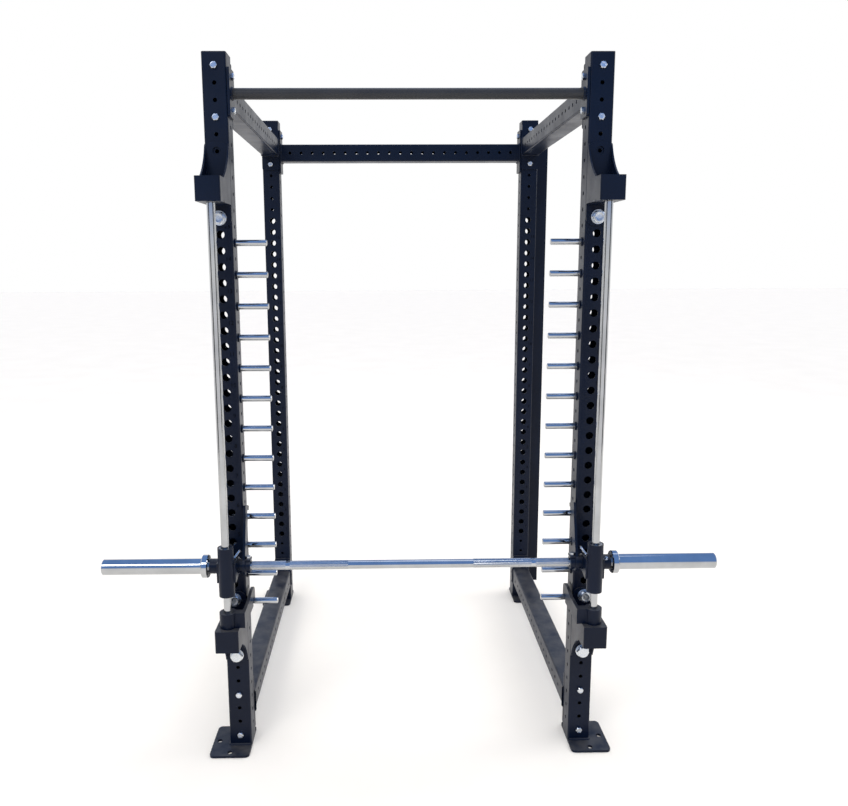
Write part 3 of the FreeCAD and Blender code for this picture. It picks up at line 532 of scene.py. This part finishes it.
def add_threads(zinc):
    """Bolt ends standing out of the nuts behind the beam flanges and behind the brackets."""
    threads = Shape()
    nuts_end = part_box("frame_nuts")[1].y
    bracket_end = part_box("bracket_bolts")[1].y
    flange = INNER_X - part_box("pull_up_bar")[1].x
    stack = nuts_end - rear_hi.y
    for (radius, pitch, showing), rows, faces in (
            (FRAME_THREAD, BEAM_BOLT_ROWS, (up_hi.y + flange + stack, nuts_end)),
            (BRACKET_THREAD, BRACKET_BOLT_ROWS, (bracket_end - BRACKET_THREAD[2],))):
        shape = thread(radius, pitch, showing - THREAD_TIP)
        for side in (LEFT, RIGHT):
            for row in rows:
                for y in faces:
                    threads.add(shape, aimed((side * UPRIGHT_X, y, row_z(row)), Y))
    threads.build("bolt_threads", zinc, "frame", "zinc", 25)


def head_face(radius):
    """The forged ring and dimple on top of a bolt head."""
    lip = 0.5 * MM
    return lathe([(radius, -0.2 * MM),
                  (radius, lip * 0.7),
                  (radius - lip, lip),
                  (radius * 0.78, lip),
                  (radius * 0.70, 0.1 * MM),
                  (radius * 0.3, 0.06 * MM)], 40)


def add_head_rings(zinc):
    """Forged rings on the heads of all the bolts."""
    rings = Shape()
    small, large = head_face(FRAME_HEAD_FACE), head_face(BRACKET_HEAD_FACE)
    beam_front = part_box("beam_bolts")[0].y
    bracket_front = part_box("bracket_bolts")[0].y
    flange_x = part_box("pull_up_bar")[1].x
    head = FRONT_Y - beam_front
    for side in (LEFT, RIGHT):
        x = side * UPRIGHT_X
        for row in BEAM_BOLT_ROWS:
            for y in (beam_front, REAR_Y - (INNER_X - flange_x) - head):
                rings.add(small, aimed((x, y, row_z(row)), -Y))
        for row in BRACKET_BOLT_ROWS:
            rings.add(large, aimed((x, bracket_front, row_z(row)), -Y))
        for y, rows in ((REAR_Y + HALF, CROSSMEMBER_BOLT_ROWS), (FRONT_Y + HALF, PULL_UP_BOLT_ROWS)):
            for row in rows:
                rings.add(small, aimed((side * (flange_x - head), y, row_z(row)), X * -side))
    rings.build("bolt_head_rings", zinc, "frame", "zinc", 30)


def add_frame_welds(coat):
    """Welds round the feet and beams, plug welds of the pegs and stitches on the rail."""
    welds = Shape()
    for side in (LEFT, RIGHT):
        for y in (FRONT_Y, REAR_Y):
            base = Vector((side * UPRIGHT_X, y + HALF, FOOT_TOP))
            whole = square_path(base, X, Y, Z)
            inner = side * (INNER_X + EDGE_INSET)
            kept = [spot for spot in whole if (spot[0].x - inner) * side > 0]
            welds.add(weld(open_run(kept), FRAME_WELD, False))
        for beam in ("top_beam", "lower_beam"):
            lo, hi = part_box(beam + ("_left" if side == LEFT else "_right"))
            middle = (lo + hi) / 2
            for y, away in ((lo.y, Y), (hi.y, -Y)):
                end = Vector((middle.x, y, middle.z))
                welds.add(weld(square_path(end, X, Z, away), FRAME_WELD, True))
        lo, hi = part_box("rear_crossmember")
        end = Vector((side * hi.x, (lo.y + hi.y) / 2, (lo.z + hi.z) / 2))
        welds.add(weld(square_path(end, Y, Z, X * -side), FRAME_WELD, True))
        lo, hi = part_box("pull_up_bar")
        end = Vector((side * hi.x, (lo.y + hi.y) / 2, (lo.z + hi.z) / 2))
        path = round_path(end, Y, Z, X * -side, (hi.z - lo.z) / 2)
        welds.add(weld(path, PULL_UP_WELD, True))
    plug = lathe([(PLUG_WELD, -0.4 * MM),
                  (PLUG_WELD * 0.93, 0.35 * MM),
                  (PLUG_WELD * 0.6, 0.8 * MM),
                  (PLUG_WELD * 0.1, 0.9 * MM)], 28)
    for side in (LEFT, RIGHT):
        for row in PEG_ROWS:
            welds.add(plug, aimed((side * OUTER_X, FRONT_Y + HALF, row_z(row)), X * side))
    lo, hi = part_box("rear_side_rail")
    z = lo.z + STITCH
    while z + STITCH < hi.z:
        stitch = straight((OUTER_X, lo.y, z), (OUTER_X, lo.y, z + STITCH), -Y, X)
        welds.add(weld(stitch, SMALL_WELD, False))
        z += STITCH_SPACING
    welds.build("frame_welds", coat, "frame", "frame_coat", 60)


def add_bracket_details(coat):
    """Welds along the back plate, and the lid's tabs showing through the cheeks."""
    details = Shape()
    for level, toward_travel in (("top", -1), ("bottom", 1)):
        for side, name in ((LEFT, "left"), (RIGHT, "right")):
            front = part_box("rod_bracket_%s_%s" % (level, name))[0].y
            rod_end = rod_hi.z if level == "top" else rod_lo.z
            lid = rod_end + toward_travel * (BRACKET_BOX - BRACKET_PLATE)
            x = side * UPRIGHT_X
            edge = HALF - EDGE_INSET
            y = FRONT_Y - BRACKET_PLATE
            along = straight((x - edge, y, lid), (x + edge, y, lid), -Y, Z * toward_travel)
            details.add(weld(along, SMALL_WELD, False))
            for turn in (LEFT, RIGHT):
                cheek = x + turn * HALF
                seam = lid - toward_travel * BRACKET_PLATE / 2
                low = (cheek - turn * TAB_SUNK, front + TAB_START, seam - TAB_HALF_HEIGHT)
                high = (cheek + turn * TAB_PROUD, front + TAB_END, seam + TAB_HALF_HEIGHT)
                details.add(slab(low, high, TAB_BEVEL))
    details.build("bracket_tabs_and_welds", coat, "frame", "frame_coat", 35)


def slab(low, high, bevel):
    """Thin tab with bevelled outer edges, between two corners."""
    lo = Vector(map(min, low, high))
    hi = Vector(map(max, low, high))
    outer = [(lo.y, lo.z), (hi.y, lo.z), (hi.y, hi.z), (lo.y, hi.z)]
    inner = [(lo.y + bevel, lo.z + bevel), (hi.y - bevel, lo.z + bevel),
             (hi.y - bevel, hi.z - bevel), (lo.y + bevel, hi.z - bevel)]
    middle = (lo.x + hi.x) / 2
    rings = [(lo.x, inner),
             (lo.x + bevel * 0.4, outer),
             (middle, outer),
             (hi.x - bevel * 0.4, outer),
             (hi.x, inner)]
    points = [(x, y, z) for x, loop in rings for y, z in loop]
    faces = grid_faces(len(rings), 4)
    faces.append([3, 2, 1, 0])
    faces.append([len(points) - 4 + step for step in range(4)])
    return points, faces


def add_carriage_details(materials):
    """Welds of the bar housings and gussets, and the clips that hold the bearings."""
    welds, clips = Shape(), Shape()
    clip = ring(in_mm([(15.2, 0), (19.6, 0), (19.6, 1.4), (15.2, 1.4)]), 48)
    for side, name in ((LEFT, "left"), (RIGHT, "right")):
        lo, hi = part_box("bar_housing_" + name)
        radius = (hi.z - lo.z) / 2
        tube_lo, tube_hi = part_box("carriage_tube_" + name)
        outer_face = (tube_hi.x if side == RIGHT else tube_lo.x) + side * GUSSET
        centre = Vector((outer_face, BAR_Y, BAR_Z))
        whole = round_path(centre, Y, Z, X * side, radius)
        kept = [spot for spot in whole if spot[0].y > ROD_Y + HOUSING_WELD_START and not
                (spot[0].y < BAR_Y and spot[0].z < BAR_Z)]
        welds.add(weld(open_run(kept), SMALL_WELD, False))
        for tube_face in (LEFT, RIGHT):
            x = side * UPRIGHT_X + tube_face * (tube_hi.x - tube_lo.x) / 2
            y = ROD_Y - TUBE_WELD_FRONT
            start, end = BAR_Z + TUBE_WELD_LOW, BAR_Z + TUBE_WELD_HIGH
            path = straight((x, y, start), (x, y, end), -Y, X * tube_face)
            welds.add(weld(path, SMALL_WELD, False))
        x = side * UPRIGHT_X
        clips.add(clip, Matrix.Translation((x, ROD_Y, tube_hi.z - CLIP_TOP_INSET)))
        clips.add(clip, Matrix.Translation((x, ROD_Y, tube_lo.z + CLIP_BOTTOM_INSET)))
    welds.build("carriage_welds", materials["frame_coat"], "carriage", "frame_coat", 60)
    clips.build("bearing_clips", materials["steel"], "carriage", "steel", 30)


def add_grease_nipple(zinc):
    """Hex-bodied nipple in the right-hand bar housing."""
    lo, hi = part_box("housing_screw")
    out = Vector((0, -1, 1)).normalized()
    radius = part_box("bar_housing_right")[1].z - BAR_Z
    place = aimed(Vector(((lo.x + hi.x) / 2, BAR_Y, BAR_Z)) + out * (radius - NIPPLE_SUNK), out)
    nipple = Shape()
    nipple.add(hexagon(*NIPPLE_NUT), place)
    stem = [(4.6, 4.0), (4.4, 6.0), (2.6, 7.6), (2.5, 8.6), (3.3, 9.6),
            (3.3, 10.8), (2.2, 11.8), (0.8, 12.0), (0.7, 11.7)]
    nipple.add(lathe(in_mm(stem), 32), place)
    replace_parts(nipple.build("grease_nipple", zinc, "carriage", "zinc", 35), "housing_screw")


def add_stop_screws(zinc):
    """Threaded twist stops with lock nuts, leaning towards the hooks."""
    housing_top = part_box("bar_housing_right")[1].z
    studs = Shape()
    for side in (LEFT, RIGHT):
        way = Vector((-side * math.sin(STOP_LEAN), 0, math.cos(STOP_LEAN)))
        place = aimed(Vector((side * STOP_X, BAR_Y, housing_top - STOP_SUNK)), way)
        studs.add(hexagon(*STOP_NUT), place)
        studs.add(thread(*STOP_THREAD), place)
    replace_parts(studs.build("twist_stop_studs", zinc, "carriage", "zinc", 30), "twist_stop_screws")


def add_hub_screws(zinc):
    """Cap screws that clamp the hook hubs on the bar."""
    lo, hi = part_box("hub_screws")
    reach = (hi.x + lo.x) / 2
    head = lathe(in_mm([(7.9, 0), (8.0, 0.4), (8.0, 7.0), (7.2, 7.9), (4.6, 8.0),
                        (4.3, 7.6), (4.3, 3.5), (0.6, 2.9)]), 36)
    screws = Shape()
    for side in (LEFT, RIGHT):
        x = side * (hi.x - HUB_SCREW) + reach
        screws.add(head, Matrix.Translation((x, BAR_Y, hi.z - HUB_SCREW)))
    screws.build("hub_screw_heads", zinc, "bar", "zinc", 30)


def knurl(start, end, radius):
    """Diamond knurl: a chequered grid whose raised points are pyramids."""
    columns = 2 * round(math.pi * 2 * radius / KNURL_PITCH)
    rows = 2 * int((end - start) / KNURL_PITCH) + 1
    points = []
    for row in range(rows):
        x = start + (end - start) * row / (rows - 1)
        edge = min(row, rows - 1 - row) < 2
        for column in range(columns):
            raised = (row + column) % 2 and not edge
            reach = radius + (KNURL_HEIGHT if raised else 0.015 * MM)
            turn = 2 * math.pi * column / columns
            points.append((x, reach * math.cos(turn), reach * math.sin(turn)))
    faces = []
    for row in range(rows - 1):
        for column in range(columns):
            after = (column + 1) % columns
            a, b = row * columns + column, row * columns + after
            c, d = b + columns, a + columns
            if (row + column) % 2:
                faces.extend(([a, b, d], [b, c, d]))
            else:
                faces.extend(([a, b, c], [a, c, d]))
    return points, faces


def add_bar_details(materials):
    """Knurling and ring marks on the bar, and the welds of the lock hooks."""
    grip, rings, welds = Shape(), Shape(), Shape()
    axis = Matrix.Translation((0, BAR_Y, BAR_Z))
    groove = ring([(BAR_RADIUS - 0.5 * MM, -2.0 * MM),
                   (BAR_RADIUS + 0.28 * MM, -1.6 * MM),
                   (BAR_RADIUS + 0.28 * MM, 1.6 * MM),
                   (BAR_RADIUS - 0.5 * MM, 2.0 * MM)], 64)
    for side in (LEFT, RIGHT):
        mirror = Matrix.Scale(side, 4, X)
        for start, end in KNURL_BANDS:
            grip.add(knurl(start, end, BAR_RADIUS), axis @ mirror)
        rings.add(groove, aimed((side * RING_GROOVE, BAR_Y, BAR_Z), X))
        hook_lo, hook_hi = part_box("lock_hook_" + ("left" if side == LEFT else "right"))
        inner = hook_lo.x if side == RIGHT else hook_hi.x
        path = round_path(Vector((inner, BAR_Y, BAR_Z)), Y, Z, X * -side, HUB_RADIUS)
        welds.add(weld(path, SMALL_WELD, True))
    grip.build("bar_knurling", materials["chrome"], "bar", "chrome", 0)
    rings.build("bar_ring_marks", materials["chrome"], "bar", "chrome", 30)
    welds.build("hook_welds", materials["frame_coat"], "bar", "frame_coat", 60)


def add_sleeve_details(materials):
    """Polished ring at the collar's root, and a turned end face with its socket screw."""
    for side, name in ((LEFT, "left"), (RIGHT, "right")):
        trim = Shape()
        lo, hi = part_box("sleeve_cap_" + name)
        end = hi.x if side == RIGHT else lo.x
        face = aimed((end, BAR_Y, BAR_Z), X * side)
        trim.add(lathe(in_mm([(20.5, -0.4), (20.5, 0.5), (19.9, 0.9), (16.6, 0.9),
                              (16.0, 0.35), (9.4, 0.35), (9.0, 0.2)]), 72), face)
        trim.add(lathe(in_mm([(8.2, 0), (8.2, 2.6), (7.6, 3.2), (4.9, 3.2),
                              (4.5, 2.9), (4.5, 0.6), (0.5, 0.5)]), 48), face)
        sleeve_lo, sleeve_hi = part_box("sleeve_" + name)
        root = (sleeve_lo.x if side == RIGHT else sleeve_hi.x) + side * COLLAR_WIDTH
        shoulder = ring(in_mm([(24.6, 0), (27.6, 0), (27.6, 1.6), (26.8, 2.4), (24.6, 2.6)]), 72)
        trim.add(shoulder, aimed((root, BAR_Y, BAR_Z), X * side))
        trim.build("sleeve_trim_" + name, materials["chrome"], "sleeve_" + name, "chrome", 30)


def add_safety_details(materials):
    """Weld between collar and block, and the bush's lip, on each safety stop."""
    for side, name in ((LEFT, "left"), (RIGHT, "right")):
        bush_lo, bush_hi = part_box("safety_bush_" + name)
        x = side * UPRIGHT_X
        reach = math.sqrt(SAFETY_COLLAR ** 2 - SAFETY_HALF_BLOCK ** 2)
        welds = Shape()
        for front in (-1, 1):
            corner = (x - side * reach, ROD_Y + front * SAFETY_HALF_BLOCK)
            start = (*corner, bush_lo.z + SAFETY_WELD_MARGIN)
            end = (*corner, bush_hi.z - SAFETY_WELD_MARGIN)
            welds.add(weld(straight(start, end, X * -side, Y * front), SMALL_WELD, False))
        welds.build("safety_welds_" + name, materials["frame_coat"], "safety_" + name,
                    "frame_coat", 60)
        lip = Shape()
        lip.add(ring([(ROD_RADIUS + 0.15 * MM, 0),
                      (17.0 * MM, 0),
                      (17.0 * MM, 0.2 * MM),
                      (16.4 * MM, 0.6 * MM),
                      (ROD_RADIUS + 0.6 * MM, 0.6 * MM),
                      (ROD_RADIUS + 0.15 * MM, 0.3 * MM)], 56),
                Matrix.Translation((x, ROD_Y, bush_hi.z)))
        lip.build("safety_bush_lip_" + name, materials["nylon"], "safety_" + name, "nylon", 30)


# Studio

FLOOR_HALF = 40.0
FLOOR_GAP = 0.0004
CARD_X, CARD_Y = 4.2, -3.0
CARD_SIZE = (2.2, 3.5)
CAMERA_X = -0.0842
CAMERA_DISTANCE = 2.4095
CAMERA_HEIGHT = 1.6642
CAMERA_PITCH, CAMERA_YAW, CAMERA_ROLL = 9.18, 0.98, -0.26


def area_light(name, place, target, size, power, colour):
    light = bpy.data.lights.new(name, "AREA")
    light.shape = "RECTANGLE"
    light.size, light.size_y = size
    light.energy = power
    light.color = colour
    lamp = bpy.data.objects.new(name, light)
    lamp.location = place
    lamp.rotation_euler = (Vector(target) - Vector(place)).to_track_quat("-Z", "Y").to_euler()
    lamp.visible_camera = False
    bpy.context.scene.collection.objects.link(lamp)


def fill_light(strength, colour):
    """Broad soft light from overhead that keeps the far floor as pale as the near floor."""
    light = bpy.data.lights.new("overhead_fill", "SUN")
    light.energy = strength
    light.angle = math.radians(120)
    light.color = colour
    lamp = bpy.data.objects.new("overhead_fill", light)
    lamp.location = (0, 0, 6.0)
    lamp.visible_glossy = False
    bpy.context.scene.collection.objects.link(lamp)


def make_world():
    """White low down in front of the camera, soft sky blue overhead and behind it."""
    world = bpy.data.worlds.new("studio")
    world.use_nodes = True
    nodes, links = world.node_tree.nodes, world.node_tree.links
    split = nodes.new("ShaderNodeSeparateXYZ")
    links.new(nodes.new("ShaderNodeTexCoord").outputs["Generated"], split.inputs[0])

    def share(axis, start, end):
        node = nodes.new("ShaderNodeMapRange")
        node.interpolation_type = "SMOOTHSTEP"
        node.inputs["From Min"].default_value = start
        node.inputs["From Max"].default_value = end
        links.new(split.outputs[axis], node.inputs["Value"])
        return node.outputs["Result"]

    both = nodes.new("ShaderNodeMath")
    both.operation = "MULTIPLY"
    links.new(share("Y", 0.05, -0.35), both.inputs[0])
    links.new(share("Z", 0.0, 0.12), both.inputs[1])
    either = nodes.new("ShaderNodeMath")
    either.operation = "MAXIMUM"
    links.new(both.outputs[0], either.inputs[0])
    links.new(share("Z", 0.36, 0.50), either.inputs[1])
    sky = nodes.new("ShaderNodeMix")
    sky.data_type = "RGBA"
    sky.inputs[6].default_value = (1.0, 1.0, 1.0, 1)
    sky.inputs[7].default_value = (0.20, 0.38, 0.80, 1)
    links.new(either.outputs[0], sky.inputs[0])
    links.new(sky.outputs[2], nodes["Background"].inputs["Color"])
    nodes["Background"].inputs["Strength"].default_value = 1.0
    bpy.context.scene.world = world


def dark_card(name, x, y, width, height):
    """Dark flag out of view that gives the upright rods a darker streak to reflect."""
    mesh = bpy.data.meshes.new(name)
    corners = [(-width / 2, 0, 0), (width / 2, 0, 0), (width / 2, 0, height), (-width / 2, 0, height)]
    mesh.from_pydata(corners, [], [[0, 1, 2, 3]])
    mesh.materials.append(moulded(name, (0.030, 0.029, 0.028), (0.045, 0.044, 0.042), 0.8, 0.1 * MM))
    card = bpy.data.objects.new(name, mesh)
    card.location = (x, y, 0)
    card.rotation_euler.z = math.atan2(-x, y)
    card.visible_camera = False
    card.visible_shadow = False
    bpy.context.scene.collection.objects.link(card)


def make_studio():
    half = FLOOR_HALF
    floor_mesh = bpy.data.meshes.new("studio_floor")
    corners = [(-half, -half, 0), (half, -half, 0), (half, half, 0), (-half, half, 0)]
    floor_mesh.from_pydata(corners, [], [[0, 1, 2, 3]])
    floor_mesh.materials.append(studio_floor("studio_floor"))
    floor = bpy.data.objects.new("studio_floor", floor_mesh)
    floor.location.z = -FLOOR_GAP
    bpy.context.scene.collection.objects.link(floor)
    make_world()
    for side in (LEFT, RIGHT):
        name = "dark_card_" + ("left" if side == LEFT else "right")
        dark_card(name, side * CARD_X, CARD_Y, *CARD_SIZE)
    area_light("key_softbox", (-2.6, -4.4, 5.0), (0, 0, 1.0), (1.6, 1.6), 60, (1.0, 0.97, 0.92))
    area_light("side_softbox", (5.5, 1.0, 3.6), (-0.6, 0, 1.4), (2.6, 2.6), 80, (1.0, 0.99, 0.97))
    area_light("top_softbox", (0.5, 0.6, 5.5), (0, 0, 0), (3.0, 3.0), 25, (1.0, 0.97, 0.93))
    fill_light(2.5, (1.0, 0.80, 0.36))
    bpy.context.scene.view_settings.view_transform = "Standard"


def make_camera():
    """The photograph's viewpoint: a little left of centre at head height, tipped down."""
    camera = bpy.data.cameras.new("camera")
    camera.sensor_width = 36.0
    camera.lens = 32.21
    camera.shift_x = 0.0326
    camera.shift_y = -0.0236
    camera.clip_end = 200.0
    viewer = bpy.data.objects.new("camera", camera)
    pitch, yaw, roll = (math.radians(angle) for angle in (CAMERA_PITCH, CAMERA_YAW, CAMERA_ROLL))
    viewer.location = (CAMERA_X, FRONT_Y - CAMERA_DISTANCE, CAMERA_HEIGHT)
    turned = Matrix.Rotation(-yaw, 4, "Z") @ Matrix.Rotation(math.pi / 2 - pitch, 4, "X")
    viewer.rotation_euler = (turned @ Matrix.Rotation(roll, 4, "Z")).to_euler()
    bpy.context.scene.collection.objects.link(viewer)
    bpy.context.scene.camera = viewer


def main():
    materials = make_materials()
    paint_cad_nodes(materials)
    add_numbers()
    add_threads(materials["zinc"])
    add_head_rings(materials["zinc"])
    add_frame_welds(materials["frame_coat"])
    add_bracket_details(materials["frame_coat"])
    add_carriage_details(materials)
    add_grease_nipple(materials["zinc"])
    add_stop_screws(materials["zinc"])
    add_hub_screws(materials["zinc"])
    add_bar_details(materials)
    add_sleeve_details(materials)
    add_safety_details(materials)
    make_studio()
    make_camera()


main()
